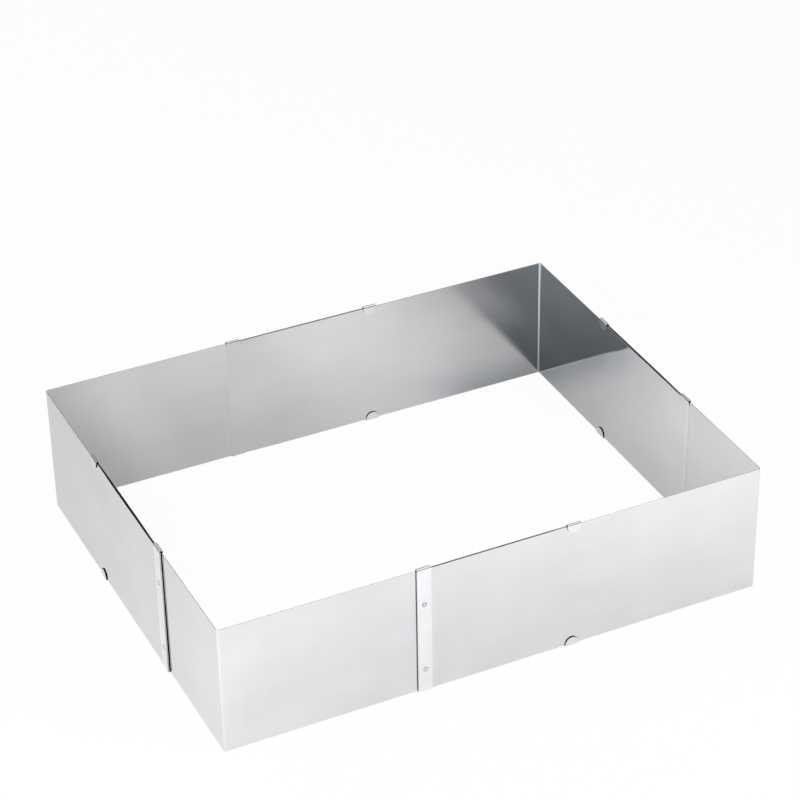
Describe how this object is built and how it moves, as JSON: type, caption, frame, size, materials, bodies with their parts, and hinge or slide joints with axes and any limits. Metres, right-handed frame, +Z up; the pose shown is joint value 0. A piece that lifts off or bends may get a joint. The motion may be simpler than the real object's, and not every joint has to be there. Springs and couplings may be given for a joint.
{
  "type": "adjustable baking frame",
  "caption": "Rectangular sheet-steel baking frame of telescoping corner angles: guide strips and folded tabs hold the overlapping walls together, so length and width slide to size.",
  "frame": {"origin": "middle of the frame's box, at the level of the folds that it stands on", "axes": "+X along the longer walls, +Y along the shorter walls, +Z up out of the open top"},
  "size_m": [0.347, 0.2746, 0.0867],
  "materials": {
    "angle_steel": "satin cold-rolled stainless sheet",
    "strip_steel": "fine ground stainless strip",
    "weld_steel": "dull round spot weld marks"
  },
  "bodies": {
    "front_left_corner": {"inner_angle_front_left": "angle_steel"},
    "front_right_corner": {"outer_angle_front_right": "angle_steel", "guide_strip_front": "strip_steel", "spot_weld_front_upper": "weld_steel", "spot_weld_front_lower": "weld_steel", "guide_strip_right": "strip_steel", "spot_weld_right_upper": "weld_steel", "spot_weld_right_lower": "weld_steel"},
    "rear_right_corner": {"inner_angle_rear_right": "angle_steel"},
    "rear_left_corner": {"outer_angle_rear_left": "angle_steel", "guide_strip_rear": "strip_steel", "spot_weld_rear_upper": "weld_steel", "spot_weld_rear_lower": "weld_steel", "guide_strip_left": "strip_steel", "spot_weld_left_upper": "weld_steel", "spot_weld_left_lower": "weld_steel"}
  },
  "joints": [
    {"name": "length_slide", "type": "slide", "parent": "front_left_corner", "child": "front_right_corner", "axis": [1, 0, 0], "range_m": [-0.1179, 0.0858]},
    {"name": "width_slide_left", "type": "slide", "parent": "front_left_corner", "child": "rear_left_corner", "axis": [0, 1, 0], "range_m": [-0.0789, 0.0913]},
    {"name": "width_slide_right", "type": "slide", "parent": "front_right_corner", "child": "rear_right_corner", "axis": [0, 1, 0], "range_m": [-0.0789, 0.0913]}
  ],
  "couplings": [
    {"joint": "width_slide_right", "follows": "width_slide_left", "ratio": 1}
  ]
}
